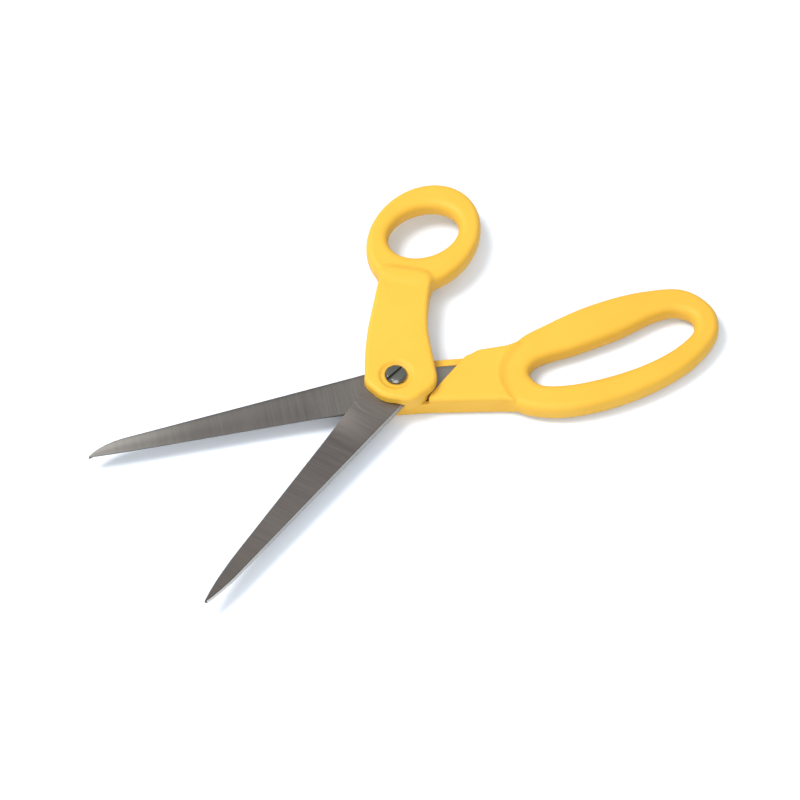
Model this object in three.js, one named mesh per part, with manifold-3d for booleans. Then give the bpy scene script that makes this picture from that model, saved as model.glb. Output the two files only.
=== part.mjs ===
// Office scissors: two steel blades, each with a moulded handle, turning on one slotted screw.
//
// Millimetres, +Z up. The scissors lie flat with the finger half underneath. The origin is on the
// pivot axis at the underside, and the finger blade points along -X. The thumb half is drawn open.
//
// Both halves are drawn in the same half frame: the pivot axis at the origin, the blade towards -X
// with its cutting edge towards -Y, and z measured inwards from the half's outer face. The finger
// half stays as drawn, and the thumb half is turned over on top of it.

import * as THREE from 'three';
import { mergeVertices } from 'three/addons/utils/BufferGeometryUtils.js';
import Module from 'manifold-3d';

const wasm = await Module();
wasm.setup();

// Driving dimensions -----------------------------------------------------------------------------

const OPEN_ANGLE = 45.6;           // degrees between the two blades as drawn
const CLOSED_ANGLE = 8.1;          // degrees between them when the handles meet
const TOTAL_THICKNESS = 12.5;      // both handles and both blades at the pivot
const BLADE_THICKNESS = 2.5;
const BLADE_GAP = 0.1;             // between the inner faces of the two blades
const BLADE_LENGTH = 104;          // pivot axis to tip
const CUTTING_EDGE = -7.7;         // distance of the cutting edge from the pivot axis
const RUNNING_GAP = 0.25;          // between one handle and the other half
const POCKET_GAP = 0.3;            // around a blade's tang inside its handle
const FACE_GAP = 0.15;             // between a blade's flat face and its handle

const NECK_EDGE = 1.6;             // rounding along the neck's long edges
const RING_THICKNESS = 7.2;
const RING_EDGE = 3.2;             // rounding of the finger and thumb loops
const HUB_RADIUS = 9.3;            // handle plate around the pivot, on the blade side
const RIM_RADIUS = 10.3;           // handle plate around the pivot, on the spine side
const CLEAR_RADIUS = 11.9;         // the thumb handle's inner layer turns inside this circle

const SHANK_RADIUS = 2.4;
const BORE_RADIUS = 2.48;          // the blades turn on the screw's shank
const HEAD_RADIUS = 3.7;
const HEAD_TOP = 13.4;             // above the resting plane
const HEAD_HEIGHT = 1.1;
const HEAD_CHAMFER = 0.65;
const SLOT_WIDTH = 1.0;
const SLOT_DEPTH = 0.65;
const SLOT_ANGLE = 34;             // degrees from +X
const WASHER_RADIUS = 3.6;
const WASHER_THICKNESS = 0.35;
const DISH_RADIUS = 6.1;           // shallow dish around the screw head
const DISH_FLOOR_RADIUS = 4.6;
const DISH_DEPTH = 0.75;
const NUT_FLANGE_RADIUS = 4.2;
const NUT_BARREL_RADIUS = 3.4;
const NUT_FLANGE_HEIGHT = 1.2;
const NUT_CLOSED_END = 0.9;

const INNER_FACE = (TOTAL_THICKNESS - BLADE_GAP) / 2;         // half frame
const OUTER_FACE = INNER_FACE - BLADE_THICKNESS;
const PLATE_TOP = OUTER_FACE - FACE_GAP;
const NECK_THICKNESS = TOTAL_THICKNESS - PLATE_TOP - RUNNING_GAP;
const RING_BOTTOM = (NECK_THICKNESS - RING_THICKNESS) / 2;

const CURVE_STEPS = 7;             // segments per curve of an outline
const ROUND_STEPS = 48;            // sides of a turned part
const FAR = 60;                    // well outside a handle's neck

// Solids -----------------------------------------------------------------------------------------

function solid(geometry) {
  const bare = geometry.clone();
  bare.deleteAttribute('normal');
  bare.deleteAttribute('uv');
  const merged = mergeVertices(bare, 1e-4);
  return new wasm.Manifold(new wasm.Mesh({
    numProp: 3,
    vertProperties: new Float32Array(merged.attributes.position.array),
    triVerts: new Uint32Array(merged.index.array),
  }));
}

function geometryOf(body) {
  const { numProp, vertProperties, triVerts } = body.getMesh();
  const corners = new Float32Array((vertProperties.length / numProp) * 3);
  for (let i = 0; i < corners.length / 3; i += 1) {
    corners.set(vertProperties.subarray(i * numProp, i * numProp + 3), i * 3);
  }
  const geometry = new THREE.BufferGeometry();
  geometry.setAttribute('position', new THREE.BufferAttribute(corners, 3));
  geometry.setIndex(new THREE.BufferAttribute(new Uint32Array(triVerts), 1));
  geometry.computeVertexNormals();
  return geometry;
}

function prism(shape, bottom, top) {
  const options = { depth: top - bottom, bevelEnabled: false, curveSegments: CURVE_STEPS };
  return solid(new THREE.ExtrudeGeometry(shape, options).translate(0, 0, bottom));
}

function roundedPrism(shape, bottom, top, edge, steps) {
  const options = {
    depth: top - bottom - 2 * edge,
    bevelThickness: edge,
    bevelSize: edge,
    bevelOffset: -edge,
    bevelSegments: steps,
    curveSegments: CURVE_STEPS,
  };
  return solid(new THREE.ExtrudeGeometry(shape, options).translate(0, 0, bottom + edge));
}

// A turned solid from [radius, z] corners, listed upwards from the axis and back to it.
function turned(profile) {
  const points = profile.map(([radius, z]) => new THREE.Vector2(radius, z));
  return solid(new THREE.LatheGeometry(points, ROUND_STEPS).rotateX(Math.PI / 2));
}

function disc(radius, bottom, top) {
  return turned([[0, bottom], [radius, bottom], [radius, top], [0, top]]);
}

function polygon(points) {
  return new THREE.Shape(points.map(([x, y]) => new THREE.Vector2(x, y)));
}

function closedSpline(points, steps) {
  const corners = points.map(([x, y]) => new THREE.Vector3(x, y, 0));
  const curve = new THREE.CatmullRomCurve3(corners, true, 'centripetal');
  const outline = curve.getPoints(steps).slice(0, -1);
  return new THREE.Shape(outline.map((point) => new THREE.Vector2(point.x, point.y)));
}

// Loops: one rounded ring for the thumb, a longer one for the fingers --------------------------

function ellipse(x, y, longRadius, shortRadius, tilt, steps) {
  const turn = THREE.MathUtils.degToRad(tilt);
  const curve = new THREE.EllipseCurve(x, y, longRadius, shortRadius, 0, 2 * Math.PI, false, turn);
  return new THREE.Shape(curve.getPoints(steps).slice(0, -1));
}

function thumbLoop() {
  const loop = ellipse(55.9, -24.3, 23.2, 18.3, -3, 44);
  loop.holes.push(ellipse(56.9, -25, 12.9, 9.9, 24.5, 32));
  return loop;
}

function fingerLoop() {
  const loop = closedSpline([
    [42.9, 9.1], [34.5, -3], [36.5, -15], [48.3, -21.2], [65.2, -22], [86.4, -17.5],
    [101.6, -10], [110.7, -0.2], [111.3, 9], [104, 18.3], [89.5, 20.8], [71, 18.9],
    [54.4, 14.1],
  ], 56);
  loop.holes.push(closedSpline([
    [47.8, -0.6], [62.9, 2.1], [77.9, 5.3], [92.3, 9.9], [98.6, 10.1], [103.2, 6.7],
    [102.6, 1.7], [96, -3.6], [84.2, -8.4], [69.2, -11.2], [54.5, -11.5], [46.7, -9.3],
    [44.6, -4.5],
  ], 44));
  return loop;
}

// Necks: from the plate around the pivot to the loop ---------------------------------------------

function fingerNeck() {
  const neck = new THREE.Shape();
  neck.moveTo(-3.4, -8.1);
  neck.lineTo(9.6, -9.8);
  neck.lineTo(25.9, -12.7);
  neck.absarc(32.3, -11.1, 2.8, Math.PI * -0.56, Math.PI * 0.03, false);
  neck.quadraticCurveTo(34, -2.6, 38, 2.2);                    // end that hugs the loop's opening
  neck.absarc(36.6, 4.8, 2.8, Math.PI * -0.22, Math.PI * 0.5, false);
  neck.lineTo(30.8, 7.6);
  neck.bezierCurveTo(28.2, 7.6, 27.6, 6.2, 25.4, 6.3);         // small shoulder
  neck.lineTo(14.9, 7.4);
  neck.absarc(0, 0, RIM_RADIUS, Math.PI * 0.333, Math.PI * 0.6, false);
  neck.absarc(0, 0, HUB_RADIUS, Math.PI * 0.7, Math.PI * 1.3, false);
  return neck;
}

function thumbNeck() {
  const neck = new THREE.Shape();
  neck.moveTo(-4.8, -9.1);
  neck.quadraticCurveTo(4, -15, 13, -19.1);
  neck.lineTo(27.6, -25.2);
  neck.lineTo(32.4, -27);
  neck.quadraticCurveTo(36.6, -28.2, 37.8, -24.6);
  neck.lineTo(40.9, -16.6);                                    // end beside the loop's opening
  neck.quadraticCurveTo(42.6, -12.4, 38, -10.2);
  neck.quadraticCurveTo(28, -5.8, 20.3, 0.1);
  neck.lineTo(8.6, 10.5);
  neck.quadraticCurveTo(5.6, 13.3, 1.8, 12.4);                 // blunt corner of the plate
  neck.lineTo(-2.6, 11.1);
  neck.quadraticCurveTo(-6.8, 9.8, -7.5, 5.9);
  neck.absarc(0, 0, HUB_RADIUS, Math.PI * 0.82, Math.PI * 1.12, false);
  neck.quadraticCurveTo(-8.4, -7, -6, -8.5);
  return neck;
}

// Inner half of a handle: it stands above the blade only behind two stop edges. The closing stop
// and the opening stop meet in a corner, and everything on the pivot side of them is cut back.

function cutBack(stopCorners) {
  const first = stopCorners[0];
  const last = stopCorners[stopCorners.length - 1];
  return polygon([[-FAR, first[1]], ...stopCorners, [last[0], FAR], [-FAR, FAR]]);
}

const FINGER_STOPS = [[9.2, -FAR], [9.2, -8.9], [10.1, -7.4], [27.1, 7.4], [40, 18.6]];
const THUMB_STOPS = [[9, -FAR], [9, -9.6], [26.5, -5.6], [45, -1.2]];

// The blunt corner of the thumb handle's plate passes over the finger handle's stop. Below the
// plate it is cut back to a circle, and past the circle to the line that meets the closed stop.
function thumbRelief() {
  const [, , stopStart, stopEnd] = FINGER_STOPS;
  const stopSlope = Math.atan2(stopEnd[1] - stopStart[1], stopEnd[0] - stopStart[0]);
  const facing = Math.PI / 2 - stopSlope + THREE.MathUtils.degToRad(CLOSED_ANGLE);
  const foot = [CLEAR_RADIUS * Math.cos(facing), CLEAR_RADIUS * Math.sin(facing)];
  const reach = 22;
  const end = [foot[0] + reach * Math.sin(facing), foot[1] - reach * Math.cos(facing)];
  const outside = polygon([[0, 0], foot, end, [end[0], FAR], [-RIM_RADIUS, FAR], [-RIM_RADIUS, 0]]);
  return prism(outside, PLATE_TOP, TOTAL_THICKNESS)
    .subtract(disc(CLEAR_RADIUS, PLATE_TOP - 1, TOTAL_THICKNESS + 1));
}

// Tangs: the hidden root of each blade -----------------------------------------------------------

const FINGER_TANG = [[-9, -7.9], [-5, -6.9], [9, -8.2], [25.5, -11], [31, -9.5], [31.5, -3],
  [27, 3.4], [14.2, 4.7], [0, 7.3]];
const THUMB_TANG = [[-9, -7.7], [-4.5, -7.4], [9, -15], [24, -21.4], [30.5, -20.6], [31.5, -13.5],
  [27, -8.6], [17, -1.4], [9, 5], [0, 7.7]];

// Blades -----------------------------------------------------------------------------------------

// The cutting edge runs straight and then eases up to the tip, and the spine falls in one line.
function bladeOutline(tang, tip) {
  const blade = new THREE.Shape();
  const [tipX, tipY, tipWidth] = tip;
  blade.moveTo(tipX, tipY);
  blade.quadraticCurveTo(tipX * 0.93, CUTTING_EDGE * 0.985, tipX * 0.8, CUTTING_EDGE);
  blade.lineTo(-11, CUTTING_EDGE);
  tang.forEach(([x, y]) => blade.lineTo(x, y));
  blade.lineTo(-7, 6.8);
  blade.lineTo(tipX * 0.885, -2.2);
  blade.quadraticCurveTo(tipX * 0.96, -3.4, tipX, tipY + tipWidth);
  return blade;
}

// The outer face falls away from the spine to the cutting edge, and the edge itself is bevelled.
// The ground face starts on an arc in front of the pivot.
function groundFace() {
  const wedge = new THREE.Shape();
  const spine = 6;
  const edge = CUTTING_EDGE - 2;
  const fall = 1.25;
  wedge.moveTo(spine, -1);
  wedge.lineTo(spine, OUTER_FACE);
  wedge.lineTo(edge, OUTER_FACE + fall);
  wedge.lineTo(edge, -1);
  const length = BLADE_LENGTH + 10;
  const options = { depth: length, bevelEnabled: false };
  const ground = new THREE.ExtrudeGeometry(wedge, options);
  ground.applyMatrix4(new THREE.Matrix4().makeBasis(
    new THREE.Vector3(0, 1, 0),
    new THREE.Vector3(0, 0, 1),
    new THREE.Vector3(1, 0, 0),
  ));
  ground.translate(-length, 0, 0);
  return solid(ground).subtract(disc(16, -2, INNER_FACE));
}

function cuttingBevel() {
  const wedge = new THREE.Shape();
  const width = 0.7;
  const land = 0.3;
  wedge.moveTo(CUTTING_EDGE - 1, -1);
  wedge.lineTo(CUTTING_EDGE + width + 3, -1);
  wedge.lineTo(CUTTING_EDGE + width, INNER_FACE - land - 1.1);
  wedge.lineTo(CUTTING_EDGE, INNER_FACE - land);
  wedge.lineTo(CUTTING_EDGE - 1, INNER_FACE - land);
  const length = BLADE_LENGTH + 10;
  const bevel = new THREE.ExtrudeGeometry(wedge, { depth: length - 15, bevelEnabled: false });
  bevel.applyMatrix4(new THREE.Matrix4().makeBasis(
    new THREE.Vector3(0, 1, 0),
    new THREE.Vector3(0, 0, 1),
    new THREE.Vector3(1, 0, 0),
  ));
  return solid(bevel.translate(-length, 0, 0));
}

function blade(tang, tip) {
  return prism(bladeOutline(tang, tip), OUTER_FACE, INNER_FACE)
    .subtract(groundFace())
    .subtract(cuttingBevel())
    .subtract(disc(BORE_RADIUS, 0, TOTAL_THICKNESS));
}

// Handles ----------------------------------------------------------------------------------------

// The pocket that holds the tang: the tang's own outline moved out all round by the gap, with a
// mouth that opens towards the blade.
function tangPocket(tang) {
  const bottom = PLATE_TOP;
  const top = INNER_FACE + FACE_GAP;
  let pocket = prism(polygon([[-7, 9], [-FAR, 9], [-FAR, -12], [-7, -12]]), bottom, top);
  const directions = 8;
  for (let i = 0; i < directions; i += 1) {
    const angle = (2 * Math.PI * i) / directions;
    const moved = [...tang, [-9, -CUTTING_EDGE]].map(([x, y]) => [
      x + POCKET_GAP * Math.cos(angle),
      y + POCKET_GAP * Math.sin(angle),
    ]);
    pocket = pocket.add(prism(polygon(moved), bottom, top));
  }
  return pocket;
}

function handle(neck, loop, stops, tang) {
  const neckSolid = roundedPrism(neck, 0, NECK_THICKNESS, NECK_EDGE, 3)
    .subtract(prism(cutBack(stops), INNER_FACE, TOTAL_THICKNESS));
  const loopSolid = roundedPrism(loop, RING_BOTTOM, RING_BOTTOM + RING_THICKNESS, RING_EDGE, 4);
  return neckSolid.add(loopSolid).subtract(tangPocket(tang));
}

function fingerHandle() {
  const nutSeat = disc(NUT_FLANGE_RADIUS + POCKET_GAP, -1, NUT_FLANGE_HEIGHT + FACE_GAP)
    .add(disc(NUT_BARREL_RADIUS + POCKET_GAP, 0, PLATE_TOP + 1));
  return handle(fingerNeck(), fingerLoop(), FINGER_STOPS, FINGER_TANG).subtract(nutSeat);
}

function thumbHandle() {
  const dish = turned([[0, -1], [DISH_RADIUS + 0.4, -1], [DISH_RADIUS, 0],
    [DISH_FLOOR_RADIUS, DISH_DEPTH], [0, DISH_DEPTH]]);
  const shankHole = disc(SHANK_RADIUS + POCKET_GAP, 0, PLATE_TOP + 1);
  return handle(thumbNeck(), thumbLoop(), THUMB_STOPS, THUMB_TANG)
    .subtract(thumbRelief())
    .subtract(dish)
    .subtract(shankHole);
}

// Pivot hardware, in the scissors' own frame -----------------------------------------------------

function pivotScrew() {
  const headBottom = HEAD_TOP - HEAD_HEIGHT;
  const body = turned([
    [0, NUT_CLOSED_END + 0.3], [SHANK_RADIUS, NUT_CLOSED_END + 0.3], [SHANK_RADIUS, headBottom],
    [HEAD_RADIUS, headBottom], [HEAD_RADIUS, HEAD_TOP - HEAD_CHAMFER],
    [HEAD_RADIUS - HEAD_CHAMFER, HEAD_TOP], [0, HEAD_TOP],
  ]);
  const slot = new THREE.BoxGeometry(4 * HEAD_RADIUS, SLOT_WIDTH, 2 * SLOT_DEPTH);
  slot.rotateZ(THREE.MathUtils.degToRad(SLOT_ANGLE));
  return body.subtract(solid(slot.translate(0, 0, HEAD_TOP)));
}

function springWasher() {
  const floor = TOTAL_THICKNESS - DISH_DEPTH;
  const bottom = floor + (HEAD_TOP - HEAD_HEIGHT - floor - WASHER_THICKNESS) / 2;
  return disc(WASHER_RADIUS, bottom, bottom + WASHER_THICKNESS)
    .subtract(disc(SHANK_RADIUS + 0.2, 0, HEAD_TOP));
}

function pivotNut() {
  return disc(NUT_FLANGE_RADIUS, 0, NUT_FLANGE_HEIGHT)
    .add(disc(NUT_BARREL_RADIUS, 0, PLATE_TOP - 0.1))
    .subtract(disc(BORE_RADIUS, NUT_CLOSED_END, TOTAL_THICKNESS));
}

// Assembly ---------------------------------------------------------------------------------------

const YELLOW_PLASTIC = { color: '#fbd05f', roughness: 0.42, metalness: 0 };
const BLADE_STEEL = { color: '#7d7a77', roughness: 0.38, metalness: 1 };
const SCREW_STEEL = { color: '#5a5a55', roughness: 0.3, metalness: 1 };

function part(name, body, finish) {
  const mesh = new THREE.Mesh(geometryOf(body), new THREE.MeshStandardMaterial(finish));
  mesh.name = name;
  return mesh;
}

const thumbHalf = new THREE.Group();
thumbHalf.add(
  part('thumb_handle', thumbHandle(), YELLOW_PLASTIC),
  part('thumb_blade', blade(THUMB_TANG, [-BLADE_LENGTH, -5.9, 1.1]), BLADE_STEEL),
);
thumbHalf.rotation.x = Math.PI;
thumbHalf.position.z = TOTAL_THICKNESS;

const thumbTurn = new THREE.Group();
thumbTurn.add(thumbHalf);
thumbTurn.rotation.z = THREE.MathUtils.degToRad(OPEN_ANGLE);

const scissors = new THREE.Group();
scissors.add(
  part('finger_handle', fingerHandle(), YELLOW_PLASTIC),
  part('finger_blade', blade(FINGER_TANG, [-BLADE_LENGTH, -7.4, 0.4]), BLADE_STEEL),
  part('pivot_nut', pivotNut(), SCREW_STEEL),
  part('pivot_screw', pivotScrew(), SCREW_STEEL),
  part('spring_washer', springWasher(), SCREW_STEEL),
  thumbTurn,
);

export default scissors;
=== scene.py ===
"""Office scissors: moulded handles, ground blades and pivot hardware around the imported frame.

Shapes are worked out in millimetres in the half frame: the pivot axis at the origin, the blade
towards -X with its cutting edge towards -Y, and z measured inwards from the half's outer face.
The finger half lies as drawn, and the thumb half is turned over on top of it.
"""

import math
from itertools import product

import bmesh
import bpy
import numpy as np
from mathutils import Matrix, Vector


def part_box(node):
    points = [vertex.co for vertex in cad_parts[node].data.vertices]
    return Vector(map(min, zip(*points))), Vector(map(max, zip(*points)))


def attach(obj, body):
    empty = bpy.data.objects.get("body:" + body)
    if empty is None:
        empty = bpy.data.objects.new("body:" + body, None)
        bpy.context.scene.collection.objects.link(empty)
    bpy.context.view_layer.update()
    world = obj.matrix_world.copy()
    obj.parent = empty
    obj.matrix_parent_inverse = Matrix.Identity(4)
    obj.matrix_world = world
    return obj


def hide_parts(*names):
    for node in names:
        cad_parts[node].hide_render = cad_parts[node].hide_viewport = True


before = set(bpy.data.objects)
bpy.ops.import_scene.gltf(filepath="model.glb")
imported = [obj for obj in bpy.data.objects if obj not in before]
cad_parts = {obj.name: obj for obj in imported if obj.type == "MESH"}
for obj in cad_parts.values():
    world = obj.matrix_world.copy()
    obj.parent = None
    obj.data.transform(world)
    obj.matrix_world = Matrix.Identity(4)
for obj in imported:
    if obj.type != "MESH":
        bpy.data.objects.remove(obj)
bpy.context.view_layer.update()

MM = 0.001

# Levels and radii, from the frame ------------------------------------------------------------


def span(node, axis):
    """Lowest and highest coordinate of a CAD node along an axis, in millimetres."""
    low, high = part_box(node)
    return low[axis] / MM, high[axis] / MM


TOTAL_THICKNESS = span("thumb_handle", 2)[1]
NECK_THICKNESS = span("finger_handle", 2)[1]
OUTER_FACE, INNER_FACE = span("finger_blade", 2)
HEAD_TOP = span("pivot_screw", 2)[1]
HEAD_RADIUS = span("pivot_screw", 0)[1]
SCREW_END = span("pivot_screw", 2)[0]
WASHER_BOTTOM, WASHER_TOP = span("spring_washer", 2)
WASHER_RADIUS = span("spring_washer", 0)[1]
WASHER_GAP = 0.2  # round the shank
WASHER_STEEL = 0.7 * (WASHER_TOP - WASHER_BOTTOM)  # its thickness, less than its dished height
WASHER_SOFTNESS = 0.07
NUT_TOP = span("pivot_nut", 2)[1]
NUT_FLANGE_RADIUS = span("pivot_nut", 0)[1]
BLADE_LENGTH = -span("finger_blade", 0)[0]

# Angles in degrees and sizes in millimetres that the frame's boxes don't give

OPEN_ANGLE = 45.6  # between the blades at rest
CLOSED_ANGLE = 8.1  # where the handles' stops meet
CUTTING_EDGE = -7.7
SKIN_GAP = 0.06  # between a blade's tang and the plastic moulded round it
PLATE_TOP = OUTER_FACE - SKIN_GAP

NECK_EDGE = 1.5
RING_THICKNESS = 7.2
RING_EDGE = 2.6  # rounding on the outside of a loop
HOLE_SLOPE = 3.4  # longer rounding towards the opening
RING_POWER = 2.5  # above 2 the section is fuller than an ellipse
HUB_RADIUS = 9.3
RIM_RADIUS = 10.3
CLEAR_RADIUS = 11.9  # outside this the thumb plate is cut back to pass the other half's stop
RING_MIDDLE = NECK_THICKNESS / 2

# Softness of the edges where a handle's shapes are joined or cut
NECK_TO_RING = 2.4
STOP_SOFTNESS = 0.3
POCKET_SOFTNESS = 0.2
SEAT_SOFTNESS = 0.15

SHANK_RADIUS = 2.4
SHANK_GAP = 0.3  # between the shank and the thumb handle
BORE_GAP = 0.08  # between the shank and the blades and the nut
HEAD_HEIGHT = 1.1
HEAD_CHAMFER = 0.7
HEAD_SOFTNESS = 0.12
PLAIN_SHANK = 0.6  # length drawn below the head
SLOT_WIDTH = 1.35
SLOT_DEPTH = 0.9
SLOT_ANGLE = 34.0
THREAD_START = SCREW_END + 0.3
THREAD_END = OUTER_FACE - 0.4
THREAD_PITCH = 0.5
THREAD_DEPTH = 0.22
SPANNER_HOLE_RADIUS = 0.45
SPANNER_HOLE_OFFSET = 2.9
DISH_RADIUS = 6.3
DISH_FLOOR_RADIUS = 4.5
DISH_DEPTH = 0.75
NUT_BARREL_RADIUS = 3.4
NUT_FLANGE_HEIGHT = 1.2
NUT_CLOSED_END = 0.9
NUT_SOFTNESS = 0.15

GRID = 0.34  # spacing of the handles' mesh
GRID_BOTTOM, GRID_HEIGHT = -1.03, 11
FINGER_CORNER, FINGER_SIZE = (-12, -25, GRID_BOTTOM), (126, 49, GRID_HEIGHT)
THUMB_CORNER, THUMB_SIZE = (-12, -45, GRID_BOTTOM), (93, 60, GRID_HEIGHT)
SETTLING_ROUNDS = 4  # moves of the mesh's points onto the surface
LONGEST_MOVE = 0.4 * GRID
FLATTEST_SLOPE = 0.05
CURVE_STEPS = 16
ROUND_STEPS = 96  # sides of an ellipse or a turned piece
FAR = 60.0

FINGER_PLACE = Matrix.Identity(4)
THUMB_PLACE = (
    Matrix.Rotation(math.radians(OPEN_ANGLE), 4, "Z")
    @ Matrix.Translation((0, 0, TOTAL_THICKNESS * MM))
    @ Matrix.Rotation(math.pi, 4, "X")
)

# Outlines ------------------------------------------------------------------------------------


class Outline:
    """A closed outline drawn with lines and curves."""

    def __init__(self, x, y):
        self.points = [(x, y)]

    def line(self, x, y):
        self.points.append((x, y))
        return self

    def curve(self, *controls):
        """Bezier curve through its control points to the last one."""
        ends = np.array([self.points[-1], *controls], float)
        for t in np.linspace(0, 1, CURVE_STEPS + 1)[1:]:
            step = ends
            while len(step) > 1:
                step = step[:-1] * (1 - t) + step[1:] * t
            self.points.append(tuple(step[0]))
        return self

    def arc(self, x, y, radius, start, end):
        """Arc round (x, y), with its angles in half turns."""
        for angle in np.linspace(start * math.pi, end * math.pi, CURVE_STEPS + 1):
            self.points.append((x + radius * math.cos(angle), y + radius * math.sin(angle)))
        return self


def ellipse(x, y, long_radius, short_radius, tilt):
    """Ellipse round (x, y), with its tilt in degrees."""
    turn = math.radians(tilt)
    angle = np.linspace(0, 2 * math.pi, ROUND_STEPS, endpoint=False)
    u, v = long_radius * np.cos(angle), short_radius * np.sin(angle)
    return np.stack(
        [x + u * math.cos(turn) - v * math.sin(turn), y + u * math.sin(turn) + v * math.cos(turn)],
        -1,
    )


def closed_spline(points):
    """Centripetal Catmull-Rom curve through the points."""
    p = np.array(points, float)
    t = np.linspace(0, 1, CURVE_STEPS // 2, endpoint=False)[:, None]
    pieces = []
    for p0, p1, p2, p3 in zip(np.roll(p, 1, 0), p, np.roll(p, -1, 0), np.roll(p, -2, 0)):
        before, here, after = (math.dist(a, b) ** 0.5 for a, b in ((p0, p1), (p1, p2), (p2, p3)))
        leave = (p1 - p0) / before - (p2 - p0) / (before + here) + (p2 - p1) / here
        arrive = (p2 - p1) / here - (p3 - p1) / (here + after) + (p3 - p2) / after
        pieces.append(
            (2 * t**3 - 3 * t**2 + 1) * p1
            + (t**3 - 2 * t**2 + t) * leave * here
            + (3 * t**2 - 2 * t**3) * p2
            + (t**3 - t**2) * arrive * here
        )
    return np.concatenate(pieces)


FINGER_LOOP = closed_spline(
    [
        (42.9, 9.1), (34.5, -3), (36.5, -15), (48.3, -21.2), (65.2, -22), (86.4, -17.5),
        (101.6, -10), (110.7, -0.2), (111.3, 9), (104, 18.3), (89.5, 20.8), (71, 18.9),
        (54.4, 14.1),
    ]
)
FINGER_HOLE = closed_spline(
    [
        (47.8, -0.6), (62.9, 2.1), (77.9, 5.3), (92.3, 9.9), (98.6, 10.1), (103.2, 6.7),
        (102.6, 1.7), (96, -3.6), (84.2, -8.4), (69.2, -11.2), (54.5, -11.5), (46.7, -9.3),
        (44.6, -4.5),
    ]
)
THUMB_LOOP = ellipse(55.9, -24.3, 23.2, 18.3, -3)
THUMB_HOLE = ellipse(56.9, -25, 12.9, 9.9, 24.5)

FINGER_NECK = (
    Outline(-3.4, -8.1)
    .line(9.6, -9.8)
    .line(25.9, -12.8)
    .line(36.4, -14.8)
    .curve((33.6, -7.5), (33.2, -0.5), (42.8, 7.4))
    .line(30.8, 7.6)
    .curve((28.2, 7.6), (27.6, 6.2), (25.4, 6.3))
    .line(14.9, 7.4)
    .arc(0, 0, RIM_RADIUS, 0.333, 0.6)
    .arc(0, 0, HUB_RADIUS, 0.7, 1.3)
    .points
)
THUMB_NECK = (
    Outline(-4.8, -9.1)
    .curve((4, -15), (13, -19.1))
    .line(27.6, -25.2)
    .line(32.4, -27)
    .curve((36.6, -28.2), (37.8, -24.6))
    .line(40.9, -16.6)
    .curve((42.6, -12.4), (38, -10.2))
    .curve((28, -5.8), (20.3, 0.1))
    .line(8.6, 10.5)
    .curve((5.6, 13.3), (1.8, 12.4))
    .line(-2.6, 11.1)
    .curve((-6.8, 9.8), (-7.5, 5.9))
    .arc(0, 0, HUB_RADIUS, 0.82, 1.12)
    .curve((-8.4, -7), (-6, -8.5))
    .points
)

FINGER_STOPS = [(9.2, -FAR), (9.2, -8.9), (10.1, -7.4), (27.1, 7.4), (40, 18.6)]
THUMB_STOPS = [(9, -FAR), (9, -9.6), (26.5, -5.6), (45, -1.2)]

# Tangs: the edge below the blade and the edge above it, each towards +X.
FINGER_TANG = (
    [
        (-11, CUTTING_EDGE), (-9, -7.9), (-5, -6.9), (9, -8.2), (25.5, -11), (31, -9.5),
        (31.5, -3.4),
    ],
    [(-7, 6.8), (0, 7.3), (14.2, 4.7), (27, 3.4), (31.5, -2.6)],
)
THUMB_TANG = (
    [
        (-11, CUTTING_EDGE), (-9, -7.7), (-4.5, -7.4), (9, -15), (24, -21.4), (30.5, -20.6),
        (31.5, -13.9),
    ],
    [(-7, 6.8), (0, 7.7), (9, 5), (17, -1.4), (27, -8.6), (31.5, -13.1)],
)
FINGER_TIP = (-7.4, 0.4)  # y of the cutting corner, and the tip's width
THUMB_TIP = (-5.9, 1.1)

# Moulded handles, from distance fields ---------------------------------------------------------


def distance_map(outline, xs, ys):
    """Signed distance to a closed outline at each grid point, negative inside."""
    gx, gy = np.meshgrid(xs, ys, indexing="ij")
    nearest = np.full(gx.shape, np.inf)
    inside = np.zeros(gx.shape, bool)
    points = np.array(outline, float)
    for (ax, ay), (bx, by) in zip(points, np.roll(points, -1, 0)):
        dx, dy = bx - ax, by - ay
        length = dx * dx + dy * dy
        if length < 1e-12:
            continue
        t = np.clip(((gx - ax) * dx + (gy - ay) * dy) / length, 0, 1)
        nearest = np.minimum(nearest, (gx - ax - t * dx) ** 2 + (gy - ay - t * dy) ** 2)
        if dy:
            inside ^= ((ay > gy) != (by > gy)) & (gx < ax + (gy - ay) / dy * dx)
    return np.where(inside, -1, 1) * np.sqrt(nearest)


def sampled(field_map, xs, ys, x, y):
    """Value of a grid map at free points."""
    u = np.clip((x - xs[0]) / GRID, 0, len(xs) - 1.001)
    v = np.clip((y - ys[0]) / GRID, 0, len(ys) - 1.001)
    i, j = u.astype(int), v.astype(int)
    u, v = u - i, v - j
    low = field_map[i, j] * (1 - v) + field_map[i, j + 1] * v
    high = field_map[i + 1, j] * (1 - v) + field_map[i + 1, j + 1] * v
    return low * (1 - u) + high * u


def joined(a, b, blend):
    """Union of two fields with a fillet of about that size."""
    h = np.maximum(blend - np.abs(a - b), 0) / blend
    return np.minimum(a, b) - h * h * blend / 4


def cut(a, b, blend):
    """Field a without field b, with the new edges softened."""
    return -joined(-a, b, blend)


def rounded_slab(outline, z, bottom, top, edge):
    """Flat plate between two levels, with its edges rounded."""
    side = outline + edge
    face = np.abs(z - (bottom + top) / 2) - (top - bottom) / 2 + edge
    corner = np.hypot(np.maximum(side, 0), np.maximum(face, 0))
    return np.minimum(np.maximum(side, face), 0) + corner - edge


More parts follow.
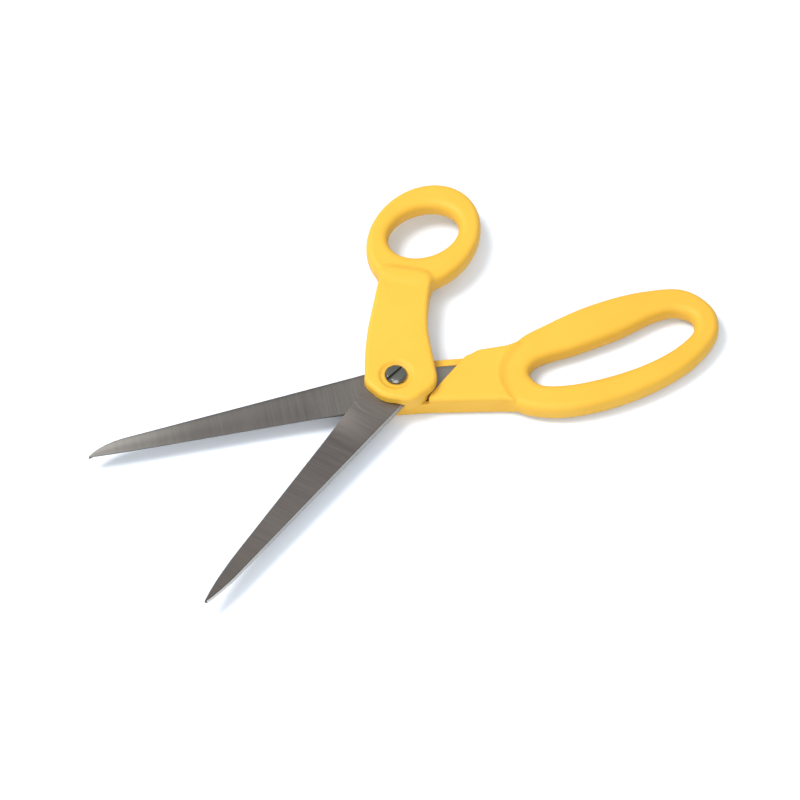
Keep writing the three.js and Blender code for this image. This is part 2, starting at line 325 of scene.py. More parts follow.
def ring(outer, hole, z):
    """Moulded loop: round outside, crowned, with a longer slope towards the opening."""
    outside = np.maximum(1 + outer / RING_EDGE, 0)
    inside = np.maximum(1 - hole / HOLE_SLOPE, 0)
    height = np.abs(z - RING_MIDDLE) / (RING_THICKNESS / 2)
    total = outside**RING_POWER + inside**RING_POWER + height**RING_POWER
    return (total ** (1 / RING_POWER) - 1) * RING_EDGE


def slab(outline, z, bottom, top):
    """Flat plate between two levels, with sharp edges."""
    return np.maximum(outline, np.maximum(bottom - z, z - top))


def handle_field(m, z):
    """What both handles share: neck and loop, cut back at the stops and hollowed for the tang."""
    neck = rounded_slab(m["neck"], z, 0, NECK_THICKNESS, NECK_EDGE)
    body = joined(neck, ring(m["loop"], m["hole"], z), NECK_TO_RING)
    body = cut(body, slab(m["stops"], z, INNER_FACE, FAR), STOP_SOFTNESS)
    pocket = np.minimum(m["tang"] - SKIN_GAP, m["mouth"])
    return cut(body, slab(pocket, z, PLATE_TOP, INNER_FACE + SKIN_GAP), POCKET_SOFTNESS)


def finger_field(m, x, y, z):
    """Finger handle, with the stepped seat of the nut."""
    radius = np.hypot(x, y)
    flange = np.maximum(radius - NUT_FLANGE_RADIUS - SKIN_GAP, z - NUT_FLANGE_HEIGHT - SKIN_GAP)
    seat = np.minimum(flange, radius - NUT_BARREL_RADIUS - SKIN_GAP)
    return cut(handle_field(m, z), seat, SEAT_SOFTNESS)


def thumb_field(m, x, y, z):
    """Thumb handle, with its relief, the dish around the screw and the shank's hole."""
    radius = np.hypot(x, y)
    relief = slab(np.maximum(m["relief"], CLEAR_RADIUS - radius), z, PLATE_TOP, FAR)
    body = cut(handle_field(m, z), relief, POCKET_SOFTNESS)
    wall = np.clip((DISH_RADIUS - radius) / (DISH_RADIUS - DISH_FLOOR_RADIUS), 0, 1)
    dish = z - DISH_DEPTH * wall * wall * (3 - 2 * wall)
    body = cut(body, np.maximum(dish, radius - DISH_RADIUS), SEAT_SOFTNESS)
    return cut(body, radius - SHANK_RADIUS - SHANK_GAP, SEAT_SOFTNESS)


def skin(values, axes):
    """Zero surface of a field on a grid: a vertex in each cell it crosses, joined by quads."""
    inside = values < 0
    cells = tuple(n - 1 for n in values.shape)
    corners = np.zeros(cells, int)
    for shift in product((0, 1), repeat=3):
        corners += inside[tuple(slice(s, s + n) for s, n in zip(shift, cells))]
    active = (corners > 0) & (corners < 8)
    index = np.full(cells, -1)
    index[active] = np.arange(active.sum())
    total = np.zeros((active.sum(), 3))
    hits = np.zeros(active.sum())
    quads = []
    for axis in range(3):
        first = [slice(None)] * 3
        second = [slice(None)] * 3
        first[axis], second[axis] = slice(0, -1), slice(1, None)
        a, b = values[tuple(first)], values[tuple(second)]
        edges = np.argwhere((a < 0) != (b < 0))
        at_a, at_b = a[tuple(edges.T)], b[tuple(edges.T)]
        points = edges.astype(float)
        points[:, axis] += at_a / (at_a - at_b)
        u, v = (axis + 1) % 3, (axis + 2) % 3
        around = []
        for du, dv in ((-1, -1), (0, -1), (0, 0), (-1, 0)):
            cell = edges.copy()
            cell[:, u] += du
            cell[:, v] += dv
            around.append(index[tuple(cell.T)])
            np.add.at(total, around[-1], points)
            np.add.at(hits, around[-1], 1)
        faces = np.stack(around, -1)
        faces[at_a > 0] = faces[at_a > 0][:, ::-1]
        quads.append(faces)
    places = total / hits[:, None]
    places = np.stack([axes[k][0] + places[:, k] * GRID for k in range(3)], -1)
    return places, np.concatenate(quads)


def gradient(field, p):
    """Slope of a field at free points."""
    step = 0.04
    slope = np.zeros_like(p)
    for k in range(3):
        offset = np.zeros(3)
        offset[k] = step
        slope[:, k] = (field(p + offset) - field(p - offset)) / (2 * step)
    return slope


def moulded(name, outlines, shape, corner, size):
    """Mesh of a handle, in metres in the half frame, with the field's own normals."""
    axes = [np.arange(low, low + length + GRID, GRID) for low, length in zip(corner, size)]
    xs, ys, zs = axes
    maps = {key: distance_map(outline, xs, ys) for key, outline in outlines.items()}
    gx, gy = np.meshgrid(xs, ys, indexing="ij")
    flat = {key: value[:, :, None] for key, value in maps.items()}
    values = shape(flat, gx[:, :, None], gy[:, :, None], zs[None, None, :])

    def field(p):
        here = {key: sampled(value, xs, ys, p[:, 0], p[:, 1]) for key, value in maps.items()}
        return shape(here, p[:, 0], p[:, 1], p[:, 2])

    places, quads = skin(values, axes)
    for _ in range(SETTLING_ROUNDS):
        slope = gradient(field, places)
        size_squared = np.maximum((slope**2).sum(1), FLATTEST_SLOPE)
        move = -field(places)[:, None] * slope / size_squared[:, None]
        length = np.linalg.norm(move, axis=1, keepdims=True)
        places += move * np.minimum(1, LONGEST_MOVE / np.maximum(length, 1e-9))
    slope = gradient(field, places)
    normals = slope / np.maximum(np.linalg.norm(slope, axis=1, keepdims=True), 1e-9)
    mesh = bpy.data.meshes.new(name)
    mesh.from_pydata(places * MM, [], quads.tolist())
    mesh.polygons.foreach_set("use_smooth", np.ones(len(quads), bool))
    mesh.normals_split_custom_set_from_vertices(normals)
    return placed(name, mesh)


def placed(name, data):
    """A new object for a mesh, a light or a camera."""
    item = bpy.data.objects.new(name, data)
    bpy.context.scene.collection.objects.link(item)
    return item


def stop_region(stops):
    """Everything on the pivot side of the stops."""
    return [(-FAR, stops[0][1]), *stops, (stops[-1][0], FAR), (-FAR, FAR)]


def tang_outline(tang):
    """The tang's own outline, from the root of the blade."""
    lower, upper = tang
    return [(-9, -CUTTING_EDGE), *lower[1:], *upper[::-1][:-1]]


# Where the blade leaves the plastic
BLADE_MOUTH = [(-7, 9), (-FAR, 9), (-FAR, -12), (-7, -12)]


def thumb_relief():
    """Outline of what is cut back under the thumb plate to pass the finger handle's stop."""
    (ax, ay), (bx, by) = FINGER_STOPS[2:4]
    facing = math.pi / 2 - math.atan2(by - ay, bx - ax) + math.radians(CLOSED_ANGLE)
    foot = (CLEAR_RADIUS * math.cos(facing), CLEAR_RADIUS * math.sin(facing))
    reach = 22.0
    end = (foot[0] + reach * math.sin(facing), foot[1] - reach * math.cos(facing))
    return [(0, 0), foot, end, (end[0], FAR), (-RIM_RADIUS, FAR), (-RIM_RADIUS, 0)]


def finger_grip():
    outlines = {
        "neck": FINGER_NECK,
        "loop": FINGER_LOOP,
        "hole": FINGER_HOLE,
        "stops": stop_region(FINGER_STOPS),
        "tang": tang_outline(FINGER_TANG),
        "mouth": BLADE_MOUTH,
    }
    return moulded("finger_grip", outlines, finger_field, FINGER_CORNER, FINGER_SIZE)


def thumb_grip():
    outlines = {
        "neck": THUMB_NECK,
        "loop": THUMB_LOOP,
        "hole": THUMB_HOLE,
        "stops": stop_region(THUMB_STOPS),
        "tang": tang_outline(THUMB_TANG),
        "mouth": BLADE_MOUTH,
        "relief": thumb_relief(),
    }
    return moulded("thumb_grip", outlines, thumb_field, THUMB_CORNER, THUMB_SIZE)


# Blades: a strip of cross sections from tip to tang ---------------------------------------------

BEVEL_WIDTH = 0.7
EDGE_THICKNESS = 0.08
GROUND_FALL = 1.25 / 16  # of the outer face, per millimetre from the spine
GROUND_SPINE = 6.0
GROUND_RADIUS = 16.0  # the ground face starts on an arc round the pivot
GROUND_RAMP = 0.9  # width of the faint step at the arc
GROUND_STEP = 0.05  # its share of the fall
GROUND_RUN_OUT = 14.0  # the rest of the fall comes in over this length
HOLLOW = 0.09  # depth of the inner face's hollow grinding
SPINE_ROUND = 0.28
INNER_ROUND = 0.12  # the spine's other corner
TIP_NOSE = 0.35  # length of the rounded tip
EDGE_START, EDGE_RUN_OUT = 9.0, 4.0  # where the cutting edge starts, and the length it takes
BLUNT_CHAMFER = 0.1  # on the tang, which has no edge
HOLLOW_START, HOLLOW_RUN_OUT = 20.0, 12.0
FULL_HOLLOW_WIDTH = 6.0  # a narrower blade is hollowed less
TANG_END = 31.4
BEND_START, BEND_RISE = 6.0, 9.0  # the cross sections are bent from this far out,
BEND_END, BEND_FALL = 34.0, 16.0  # to this far, with the bend rising and falling
TIP_SPACING = [0.0, 0.03, 0.1, 0.2, 0.35, 0.6, 1, 1.5]  # of the sections nearest the tip
BLADE_SECTIONS, ARC_SECTIONS, TANG_SECTIONS = 70, 9, 46
FACE_POINTS, SPINE_POINTS, INNER_POINTS = 11, 5, 4
BLADE_CRISP, TURNED_CRISP = 24, 30  # edges sharper than these angles are kept sharp


def curve_points(start, control, end, steps=12):
    """Points along a quadratic curve."""
    t = np.linspace(0, 1, steps)[:, None]
    start, control, end = (np.array(p, float) for p in (start, control, end))
    return (1 - t) ** 2 * start + 2 * t * (1 - t) * control + t**2 * end


def blade_edges(tang, tip):
    """The blade's lower and upper edge as [x, y] rows towards +X, both starting at the tip."""
    tip_y, tip_width = tip
    tip_x = -BLADE_LENGTH
    lower = curve_points(
        (tip_x, tip_y), (tip_x * 0.93, CUTTING_EDGE * 0.985), (tip_x * 0.8, CUTTING_EDGE)
    )
    upper = curve_points(
        (tip_x, tip_y + tip_width), (tip_x * 0.96, -3.4), (tip_x * 0.885, -2.2)
    )
    return np.vstack([lower, tang[0]]), np.vstack([upper, tang[1]])


def stations():
    """Where the cross sections lie: closer at the tip, the arc of the ground face and the root."""
    return np.concatenate(
        [
            -BLADE_LENGTH + np.array(TIP_SPACING),
            np.linspace(-BLADE_LENGTH + 2.5, -GROUND_RADIUS - 1, BLADE_SECTIONS),
            -GROUND_RADIUS + GROUND_RAMP * np.linspace(-0.7, 0.7, ARC_SECTIONS),
            np.linspace(-GROUND_RADIUS + 1, TANG_END, TANG_SECTIONS),
        ]
    )


def bent(u, y):
    """Distance along the blade of a point: sections near the arc curve round the pivot."""
    rise = np.clip((-u - BEND_START) / BEND_RISE, 0, 1)
    share = rise * np.clip((BEND_END + u) / BEND_FALL, 0, 1)
    return np.where(u < 0, -np.sqrt(np.maximum(u * u - share * y * y, 0)), u)


def smooth_share(t):
    """Eases from 0 to 1."""
    t = np.clip(t, 0, 1)
    return t * t * (3 - 2 * t)


def outer_height(x, y):
    """Height of the blade's outer face: flat round the pivot, then ground away to the edge."""
    radius = np.hypot(x, y)
    edge = smooth_share((radius - GROUND_RADIUS) / GROUND_RAMP + 0.5)
    run_out = smooth_share((radius - GROUND_RADIUS) / GROUND_RUN_OUT)
    ramp = (GROUND_STEP * edge + (1 - GROUND_STEP) * run_out) * (x < 0)
    return OUTER_FACE + ramp * np.maximum(GROUND_SPINE - y, 0) * GROUND_FALL


def blade_section(u, lower, upper):
    """One closed cross section, from the cutting edge over the outer face, spine and inner face."""
    low_y, high_y = CUTTING_EDGE, 0.0
    for _ in range(6):  # each round comes closer to where the bent section meets the edges
        low_y = np.interp(bent(u, low_y), *lower.T)
        high_y = np.interp(bent(u, high_y), *upper.T)
    from_tip = u + BLADE_LENGTH
    if from_tip < TIP_NOSE:
        middle, half = (low_y + high_y) / 2, (high_y - low_y) / 2
        half *= math.sqrt(max(1 - (1 - from_tip / TIP_NOSE) ** 2, 0.02))
        low_y, high_y = middle - half, middle + half
    width = high_y - low_y
    sharp = float(smooth_share((-u - EDGE_START) / EDGE_RUN_OUT))
    bevel = max(min(BEVEL_WIDTH, 0.45 * width) * sharp, 0.02)
    rounding = min(SPINE_ROUND, 0.3 * width)
    share = np.linspace(0, 1, FACE_POINTS)
    across = low_y + bevel + share * (width - bevel - rounding)
    outer = outer_height(bent(u, across), across)
    edge_z = (INNER_FACE - EDGE_THICKNESS) * sharp + (outer[0] + BLUNT_CHAMFER) * (1 - sharp)
    spine = [
        (high_y - rounding + rounding * math.sin(a), outer[-1] + rounding * (1 - math.cos(a)))
        for a in np.linspace(0, math.pi / 2, SPINE_POINTS)[1:]
    ]
    inner_spine = [
        (high_y - INNER_ROUND * (1 - math.cos(a)), INNER_FACE - INNER_ROUND * (1 - math.sin(a)))
        for a in np.linspace(0, math.pi / 2, INNER_POINTS)
    ]
    back = low_y + (1 - share[1:]) * (width - INNER_ROUND)
    belly = np.sin(math.pi * np.clip((back - low_y) / width, 0, 1)) ** 2
    along = float(smooth_share((-u - HOLLOW_START) / HOLLOW_RUN_OUT))
    hollow = HOLLOW * belly * along * min(1, width / FULL_HOLLOW_WIDTH)
    points = [(low_y, edge_z)]
    points += list(zip(across, outer))
    points += spine
    points += inner_spine
    points += list(zip(back, INNER_FACE - hollow))
    return [(float(bent(u, y)), float(y), float(z)) for y, z in points]


def ground_blade(name, tang, tip):
    """Mesh of one blade, in metres in the half frame."""
    lower, upper = blade_edges(tang, tip)
    sections = [blade_section(u, lower, upper) for u in stations()]
    count = len(sections[0])
    mesh = bpy.data.meshes.new(name)
    work = bmesh.new()
    rows = [[work.verts.new(Vector(p) * MM) for p in section] for section in sections]
    for row, after in zip(rows, rows[1:]):
        for k in range(count):
            n = (k + 1) % count
            work.faces.new((row[k], row[n], after[n], after[k]))
    work.faces.new(rows[0][::-1])
    work.faces.new(rows[-1])
    outward(work)
    work.to_mesh(mesh)
    work.free()
    piece = placed(name, mesh)
    drill(piece, SHANK_RADIUS + BORE_GAP)
    crisp(piece, BLADE_CRISP)
    return piece


def outward(work):
    """Turns every face of a closed mesh outwards."""
    bmesh.ops.recalc_face_normals(work, faces=work.faces)
    if work.calc_volume(signed=True) < 0:
        bmesh.ops.reverse_faces(work, faces=work.faces)


def applied(piece):
    """The piece's mesh with its modifiers applied."""
    graph = bpy.context.evaluated_depsgraph_get()
    piece.data = bpy.data.meshes.new_from_object(piece.evaluated_get(graph))
    piece.modifiers.clear()


def subtract(piece, cutter):
    """Cuts the cutter's shape from the piece and removes the cutter."""
    change = piece.modifiers.new("cut", "BOOLEAN")
    change.operation = "DIFFERENCE"
    change.solver = "EXACT"
    change.object = cutter
    applied(piece)
    bpy.data.objects.remove(cutter)


def drill(piece, radius):
    """Bores the pivot hole."""
    bore = turned("bore", [(0, -5), (radius, -5), (radius, 20), (0, 20)])
    subtract(piece, bore)


def crisp(piece, angle):
    """Smooth shading, with edges sharper than an angle kept sharp."""
    work = bmesh.new()
    work.from_mesh(piece.data)
    for face in work.faces:
        face.smooth = True
    for edge in work.edges:
        edge.smooth = edge.is_manifold and edge.calc_face_angle(0) < math.radians(angle)
    work.to_mesh(piece.data)
    work.free()


# Turned pivot hardware --------------------------------------------------------------------------


def turned(name, profile, sides=ROUND_STEPS):
    """Solid of revolution from [radius, z] corners, listed upwards from the axis and back."""
    mesh = bpy.data.meshes.new(name)
    work = bmesh.new()
    rings = []
    angles = [2 * math.pi * k / sides for k in range(sides)]
    for radius, z in profile:
        if radius == 0:
            rings.append([work.verts.new((0, 0, z * MM))] * sides)
            continue
        corners = [(radius * math.cos(a) * MM, radius * math.sin(a) * MM, z * MM) for a in angles]
        rings.append([work.verts.new(c) for c in corners])
    for low, high in zip(rings, rings[1:]):
        for k in range(sides):
            n = (k + 1) % sides
            corners = [low[k], low[n], high[n], high[k]]
            unique = list(dict.fromkeys(corners))
            if len(unique) > 2:
                work.faces.new(unique)
    outward(work)
    work.to_mesh(mesh)
    work.free()
    return placed(name, mesh)


def softened(points, radius, steps=3):
    """A [radius, z] profile with each inner corner rounded off."""
    result = [points[0]]
    for before, here, after in zip(points, points[1:], points[2:]):
        a, b, c = (Vector(p) for p in (before, here, after))
        reach = min(radius, (b - a).length * 0.45, (c - b).length * 0.45)
        start, end = b + (a - b).normalized() * reach, b + (c - b).normalized() * reach
        for t in np.linspace(0, 1, steps + 1):
            result.append(tuple(start * (1 - t) ** 2 + b * 2 * t * (1 - t) + end * t**2))
    return [*result, points[-1]]


def thread_profile():
    """Ridges of the screw's threaded end."""
    root = SHANK_RADIUS - THREAD_DEPTH
    points = []
    z = THREAD_START
    while z + THREAD_PITCH < THREAD_END:
        crest = [(SHANK_RADIUS, z + THREAD_PITCH * share) for share in (0.4, 0.6)]
        points += [(root, z), *crest]
        z += THREAD_PITCH
    return [*points, (root, z)]


def slotted_screw():
    """Pivot screw with a slotted head, a plain shank and a threaded end."""
    head_bottom = HEAD_TOP - HEAD_HEIGHT
    head = softened(
        [
            (SHANK_RADIUS, head_bottom - PLAIN_SHANK), (SHANK_RADIUS, head_bottom),
            (HEAD_RADIUS, head_bottom), (HEAD_RADIUS, HEAD_TOP - HEAD_CHAMFER),
            (HEAD_RADIUS - HEAD_CHAMFER, HEAD_TOP), (0, HEAD_TOP),
        ],
        HEAD_SOFTNESS,
    )
    end = [(0, SCREW_END), (SHANK_RADIUS - 0.5, SCREW_END)]
    shank = [*thread_profile(), (SHANK_RADIUS, OUTER_FACE - 0.2)]
    piece = turned("slotted_screw", [*end, *shank, *head])
    bpy.ops.mesh.primitive_cube_add(size=1)
    slot = bpy.context.object
    slot.scale = (4 * HEAD_RADIUS * MM, SLOT_WIDTH * MM, 2 * SLOT_DEPTH * MM)
    slot.rotation_euler.z = math.radians(SLOT_ANGLE)
    slot.location.z = HEAD_TOP * MM
    bpy.context.view_layer.update()
    subtract(piece, slot)
    crisp(piece, TURNED_CRISP)
    return piece


def wave_washer():
    """Dished spring washer under the screw head."""
    inner = SHANK_RADIUS + WASHER_GAP
    middle = ((inner + WASHER_RADIUS) / 2, (WASHER_TOP + WASHER_BOTTOM - WASHER_STEEL) / 2)
    profile = [
        middle, (WASHER_RADIUS, WASHER_BOTTOM), (WASHER_RADIUS, WASHER_BOTTOM + WASHER_STEEL),
        (inner, WASHER_TOP), (inner, WASHER_TOP - WASHER_STEEL), middle,
    ]
    piece = turned("wave_washer", softened(profile, WASHER_SOFTNESS))
    work = bmesh.new()
    work.from_mesh(piece.data)
    bmesh.ops.remove_doubles(work, verts=work.verts, dist=1e-7)
    outward(work)
    work.to_mesh(piece.data)
    work.free()
    crisp(piece, TURNED_CRISP)
    return piece


def barrel_nut():
    """Flanged blind nut, with two spanner holes in its flange."""
    bore = SHANK_RADIUS + BORE_GAP
    profile = softened(
        [
            (0, 0), (NUT_FLANGE_RADIUS, 0), (NUT_FLANGE_RADIUS, NUT_FLANGE_HEIGHT),
            (NUT_BARREL_RADIUS, NUT_FLANGE_HEIGHT), (NUT_BARREL_RADIUS, NUT_TOP),
            (bore, NUT_TOP), (bore, NUT_CLOSED_END), (0, NUT_CLOSED_END),
        ],
        NUT_SOFTNESS,
    )
    piece = turned("barrel_nut", profile)
    radius = SPANNER_HOLE_RADIUS
    for side in (-1, 1):
        hole = turned("spanner_hole", [(0, -1), (radius, -1), (radius, 0.5), (0, 0.62)], 24)
        hole.location.x = side * SPANNER_HOLE_OFFSET * MM
        bpy.context.view_layer.update()
        subtract(piece, hole)
    crisp(piece, TURNED_CRISP)
    return piece


# Materials --------------------------------------------------------------------------------------


def fill_ramp(ramp, stops):
    """Gives a colour ramp its (position, colour) stops."""
    while len(ramp.elements) < len(stops):
        ramp.elements.new(0.5)
    for element, (position, colour) in zip(ramp.elements, stops):
        element.position = position
        element.color = (*colour, 1)


class Nodes:
    """A new node material with a Principled shader."""

    def __init__(self, name):
        self.material = bpy.data.materials.new(name)
        self.material.use_nodes = True
        self.tree = self.material.node_tree
        self.shader = next(n for n in self.tree.nodes if n.type == "BSDF_PRINCIPLED")
        self.place = self.new("ShaderNodeTexCoord").outputs["Object"]

    def new(self, kind, inputs=(), **settings):
        node = self.tree.nodes.new(kind)
        for key, value in settings.items():
            setattr(node, key, value)
        for key, value in dict(inputs).items():
            self.feed(node.inputs[key], value)
        return node

    def feed(self, socket, value):
        if isinstance(value, bpy.types.NodeSocket):
            self.tree.links.new(value, socket)
        else:
            socket.default_value = value

    def stretched(self, x, y, z):
        """Object coordinates scaled along each axis, in features per metre."""
        return self.new(
            "ShaderNodeMapping", {"Vector": self.place, "Scale": (x, y, z)}
        ).outputs["Vector"]

    def noise(self, vector, scale=1.0, detail=3.0, roughness=0.5):
        inputs = {"Vector": vector, "Scale": scale, "Detail": detail, "Roughness": roughness}
        return self.new("ShaderNodeTexNoise", inputs).outputs["Fac"]

    def ranged(self, value, low, high, start=0.3, end=0.7):
        """Maps a value between start and end to low and high."""
        inputs = {
            "Value": value, "From Min": start, "From Max": end, "To Min": low, "To Max": high
        }
        return self.new("ShaderNodeMapRange", inputs).outputs["Result"]

    def shades(self, value, stops):
        """Colour of a value, from (position, colour) stops."""
        node = self.new("ShaderNodeValToRGB", {"Fac": value})
        fill_ramp(node.color_ramp, stops)
        return node.outputs["Color"]

    def mix(self, share, a, b, kind="MIX"):
        node = self.new("ShaderNodeMix", data_type="RGBA", blend_type=kind)
        self.feed(node.inputs[0], share)
        self.feed(node.inputs[6], a if isinstance(a, bpy.types.NodeSocket) else (*a, 1))
        self.feed(node.inputs[7], b if isinstance(b, bpy.types.NodeSocket) else (*b, 1))
        return node.outputs[2]

    def math(self, kind, a, b):
        return self.new("ShaderNodeMath", {0: a, 1: b}, operation=kind).outputs[0]

    def bump(self, height, distance, strength=1.0):
        inputs = {"Height": height, "Distance": distance, "Strength": strength}
        self.feed(self.shader.inputs["Normal"], self.new("ShaderNodeBump", inputs).outputs[0])

    def set(self, **values):
        for key, value in values.items():
            self.feed(self.shader.inputs[key.replace("_", " ")], value)


def handle_plastic():
    """Yellow moulded plastic: satin, with a very fine grain and faint flow marks."""
    n = Nodes("handle_plastic")
    cloud = n.noise(n.stretched(55, 55, 55), detail=2)
    flow = n.noise(n.stretched(30, 160, 90), detail=3)
    base = n.shades(cloud, [(0.3, (0.60, 0.342, 0.031)), (0.7, (0.635, 0.362, 0.037))])
    base = n.mix(n.ranged(flow, 0.0, 0.12), base, (0.585, 0.325, 0.027))
    grain = n.noise(n.stretched(2600, 2600, 2600), detail=2)
    n.set(
        Base_Color=base,
        Roughness=n.ranged(flow, 0.5, 0.6),
        Specular_IOR_Level=0.3,
        IOR=1.5,
        Subsurface_Weight=0.08,
        Subsurface_Scale=0.001,
    )
    n.shader.inputs["Subsurface Radius"].default_value = (1.0, 0.55, 0.1)
    n.bump(grain, 0.000012, 0.6)
    return n.material


ROOT_PAINTED_SHEEN = (0.25, 0.225, 0.205)  # painted reflection: the steel is painted lighter near the handles


def blade_steel(name, turn, dark, light, tip_painted_tone, tip_painted_share):
    """Ground steel: fine lines across the blade and faint bands, with a painted tone towards the
    tip that stands in for how the faces reflect the light there, and a painted lighter reflection
    near the handles.
    """
    n = Nodes(name)
    along = n.new(
        "ShaderNodeMapping", {"Vector": n.place, "Rotation": (0, 0, -math.radians(turn))}
    ).outputs["Vector"]

    def grained(x, y, detail):
        place = n.new("ShaderNodeMapping", {"Vector": along, "Scale": (x, y, y)})
        return n.noise(place.outputs["Vector"], detail=detail)

    lines = grained(4200, 55, 3)
    bands = grained(130, 22, 2)
    cloud = grained(45, 90, 2)
    tone = n.shades(lines, [(0.3, dark), (0.7, light)])
    tone = n.mix(n.ranged(bands, 0.0, 0.22), tone, dark)
    tone = n.mix(n.ranged(cloud, 0.0, 0.22), tone, light)
    reach = n.new("ShaderNodeSeparateXYZ", {"Vector": along}).outputs[0]
    # Painted light and shade: towards the tip the tone turns to the given tip tone, standing in for
    # how the faces reflect the light there
    painted_tip_shading = n.ranged(reach, tip_painted_share, 0.0, -BLADE_LENGTH * MM, -0.66 * BLADE_LENGTH * MM)
    # Painted reflection: towards the handles the tone lightens to the root tone
    painted_root_sheen = n.ranged(reach, 0.0, 0.8, -0.3 * BLADE_LENGTH * MM, 0.14 * BLADE_LENGTH * MM)
    tone = n.mix(painted_tip_shading, tone, tip_painted_tone)
    tone = n.mix(painted_root_sheen, tone, ROOT_PAINTED_SHEEN)
    n.set(Base_Color=tone, Metallic=1.0, Roughness=n.ranged(lines, 0.36, 0.48))
    n.bump(lines, 0.000005, 0.4)
    return n.material


def ground_steel(name, turn):
    """The outer face and the bevel, with painted shade darkening them towards the tip."""
    return blade_steel(
        name, turn, (0.096, 0.085, 0.080), (0.117, 0.105, 0.098), (0.062, 0.055, 0.051), 0.7
    )


def honed_steel(name, turn):
    """The inner face, with a painted reflection lightening it towards the tip."""
    return blade_steel(
        name, turn, (0.113, 0.104, 0.098), (0.136, 0.126, 0.118), (0.26, 0.25, 0.23), 0.9
    )


def spine_sheen_steel(name, turn):
    """The spine, painted bright as a reflection of its bright surroundings, and painted lighter
    still towards the tip.
    """
    return blade_steel(
        name, turn, (0.30, 0.29, 0.27), (0.38, 0.365, 0.345), (0.55, 0.53, 0.49), 0.8
    )


def screw_steel():
    """Nickel-plated steel with fine turning marks and a little tarnish."""
    n = Nodes("screw_steel")
    parts = n.new("ShaderNodeSeparateXYZ", {"Vector": n.place})
    square = n.math(
        "ADD",
        n.math("MULTIPLY", parts.outputs[0], parts.outputs[0]),
        n.math("MULTIPLY", parts.outputs[1], parts.outputs[1]),
    )
    radius = n.math("SQRT", square, 0.0)
    marks = n.new("ShaderNodeCombineXYZ", {"X": n.math("MULTIPLY", radius, 9000.0)})
    rings = n.noise(marks.outputs[0], detail=2)
    spots = n.noise(n.stretched(900, 900, 900), detail=4)
    tone = n.shades(rings, [(0.3, (0.12, 0.12, 0.105)), (0.7, (0.22, 0.22, 0.195))])
    tone = n.mix(n.ranged(spots, 0.0, 0.5, 0.45, 0.75), tone, (0.08, 0.075, 0.06))
    rim = n.ranged(radius, 0.0, 0.8, (HEAD_RADIUS - 0.8) * MM, (HEAD_RADIUS - 0.55) * MM)
    tone = n.mix(rim, tone, (0.16, 0.155, 0.15))
    n.set(Base_Color=tone, Metallic=1.0, Roughness=n.ranged(spots, 0.2, 0.34))
    n.bump(rings, 0.000008, 0.5)
    return n.material


# Studio -----------------------------------------------------------------------------------------

FLOOR_GLOW = 0.08
TENT = [(0.0, 0.6), (0.3, 0.5), (0.75, 0.48), (0.9, 0.8), (1.0, 1.0)]  # sine of elevation, level
TENT_STRENGTH = 1.3
LIGHT_DISTANCE = 0.9
KEY_POWER = 8.6
FRONT_POWER = 4.0
VIEW_AZIMUTH = -12.0
VIEW_ELEVATION = 54.5
VIEW_DISTANCE = 1.1
VIEW_AIM = Vector((0.12, -6.11, 6.25)) * MM
VIEW_LENS = 149.8


def white_board():
    """The pale table top."""
    n = Nodes("white_board")
    cloud = n.noise(n.stretched(8, 8, 8))
    n.set(
        Base_Color=n.shades(cloud, [(0.3, (0.70, 0.745, 0.81)), (0.7, (0.72, 0.765, 0.83))]),
        Roughness=0.9,
        Specular_IOR_Level=0.0,
        Emission_Color=(1, 1, 1, 1),
        Emission_Strength=FLOOR_GLOW,
    )
    return n.material


def aimed(name, data, azimuth, elevation, distance):
    """A camera or light that faces the object: azimuth 0 is towards -Y and 90 towards +X."""
    a, e = math.radians(azimuth), math.radians(elevation)
    away = Vector((math.sin(a) * math.cos(e), -math.cos(a) * math.cos(e), math.sin(e)))
    item = placed(name, data)
    item.location = VIEW_AIM + away * distance
    item.rotation_euler = (-away).to_track_quat("-Z", "Y").to_euler()
    return item


def camera():
    """The photo's view point."""
    data = bpy.data.cameras.new("camera")
    data.lens = VIEW_LENS
    data.sensor_width = 36.0
    data.clip_start = 0.01
    item = aimed("camera", data, VIEW_AZIMUTH, VIEW_ELEVATION, VIEW_DISTANCE)
    bpy.context.scene.camera = item


def softbox(name, azimuth, elevation, size, power, colour):
    data = bpy.data.lights.new(name, "AREA")
    data.shape = "DISK"
    data.size = size
    data.energy = power
    data.color = colour
    aimed(name, data, azimuth, elevation, LIGHT_DISTANCE)


def sky():
    """Soft white tent: bright overhead, darker towards the horizon."""
    world = bpy.data.worlds.new("tent")
    world.use_nodes = True
    tree = world.node_tree
    place = tree.nodes.new("ShaderNodeTexCoord").outputs["Generated"]
    parts = tree.nodes.new("ShaderNodeSeparateXYZ")
    ramp = tree.nodes.new("ShaderNodeValToRGB")
    tree.links.new(place, parts.inputs[0])
    tree.links.new(parts.outputs[2], ramp.inputs[0])
    fill_ramp(
        ramp.color_ramp,
        [(height, (0.95 * level, 0.975 * level, level)) for height, level in TENT],
    )
    background = tree.nodes["Background"]
    tree.links.new(ramp.outputs[0], background.inputs["Color"])
    background.inputs["Strength"].default_value = TENT_STRENGTH
    bpy.context.scene.world = world


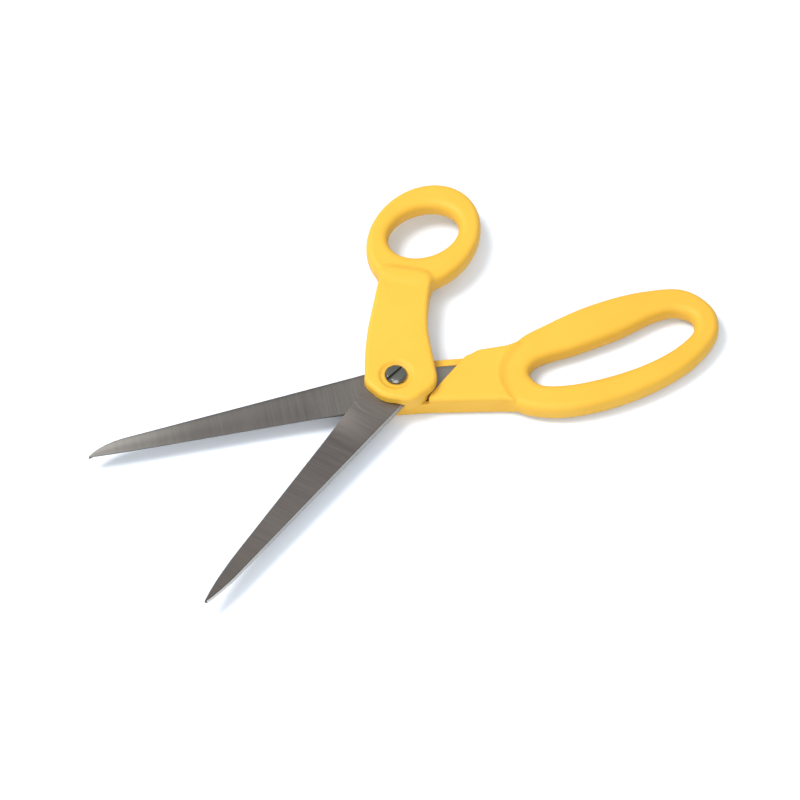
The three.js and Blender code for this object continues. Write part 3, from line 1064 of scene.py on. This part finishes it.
def studio():
    """Table top, tent and two soft lights."""
    bpy.ops.mesh.primitive_plane_add(size=6, location=(0, 0, -0.0001))
    floor = bpy.context.object
    floor.name = "floor"
    floor.data.materials.append(white_board())
    sky()
    softbox("key", -114, 62, 0.46, KEY_POWER, (1.0, 0.99, 0.97))
    softbox("front", -14, 34, 0.7, FRONT_POWER, (1.0, 0.99, 0.98))
    bpy.context.scene.view_settings.view_transform = "Standard"


# Assembly ---------------------------------------------------------------------------------------

INNER_FACING = 0.9  # least z of the normal on a blade's inner face
SPINE_FACING = 0.6  # least y of the normal along its spine


def steel_faces(piece, outer, inner, spine):
    """Gives a blade's ground faces, inner face and spine their own steel, the spine's painted
    bright as a reflection.
    """
    piece.data.materials.clear()
    for steel in (outer, inner, spine):
        piece.data.materials.append(steel)
    for face in piece.data.polygons:
        if face.normal.z > INNER_FACING:
            face.material_index = 1
        elif face.normal.y > SPINE_FACING:
            face.material_index = 2


def fitted(piece, place, body, node):
    """Places a piece and lets it stand for its CAD node."""
    piece.data.transform(place)
    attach(piece, body)
    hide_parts(node)


camera()
plastic = handle_plastic()
plating = screw_steel()
for piece, place, body, node in (
    (finger_grip(), FINGER_PLACE, "finger_half", "finger_handle"),
    (thumb_grip(), THUMB_PLACE, "thumb_half", "thumb_handle"),
):
    piece.data.materials.append(plastic)
    fitted(piece, place, body, node)
for name, tang, tip, place, turn, body, node in (
    ("lower_blade", FINGER_TANG, FINGER_TIP, FINGER_PLACE, 0, "finger_half", "finger_blade"),
    ("upper_blade", THUMB_TANG, THUMB_TIP, THUMB_PLACE, OPEN_ANGLE, "thumb_half", "thumb_blade"),
):
    piece = ground_blade(name, tang, tip)
    steel_faces(
        piece,
        ground_steel(name + "_outer", turn),
        honed_steel(name + "_inner", turn),
        # the spine's steel is a painted reflection, brighter than the faces
        spine_sheen_steel(name + "_spine", turn),
    )
    fitted(piece, place, body, node)
for piece, body, node in (
    (slotted_screw(), "tension_screw", "pivot_screw"),
    (wave_washer(), "tension_screw", "spring_washer"),
    (barrel_nut(), "finger_half", "pivot_nut"),
):
    piece.data.materials.clear()
    piece.data.materials.append(plating)
    fitted(piece, FINGER_PLACE, body, node)
studio()
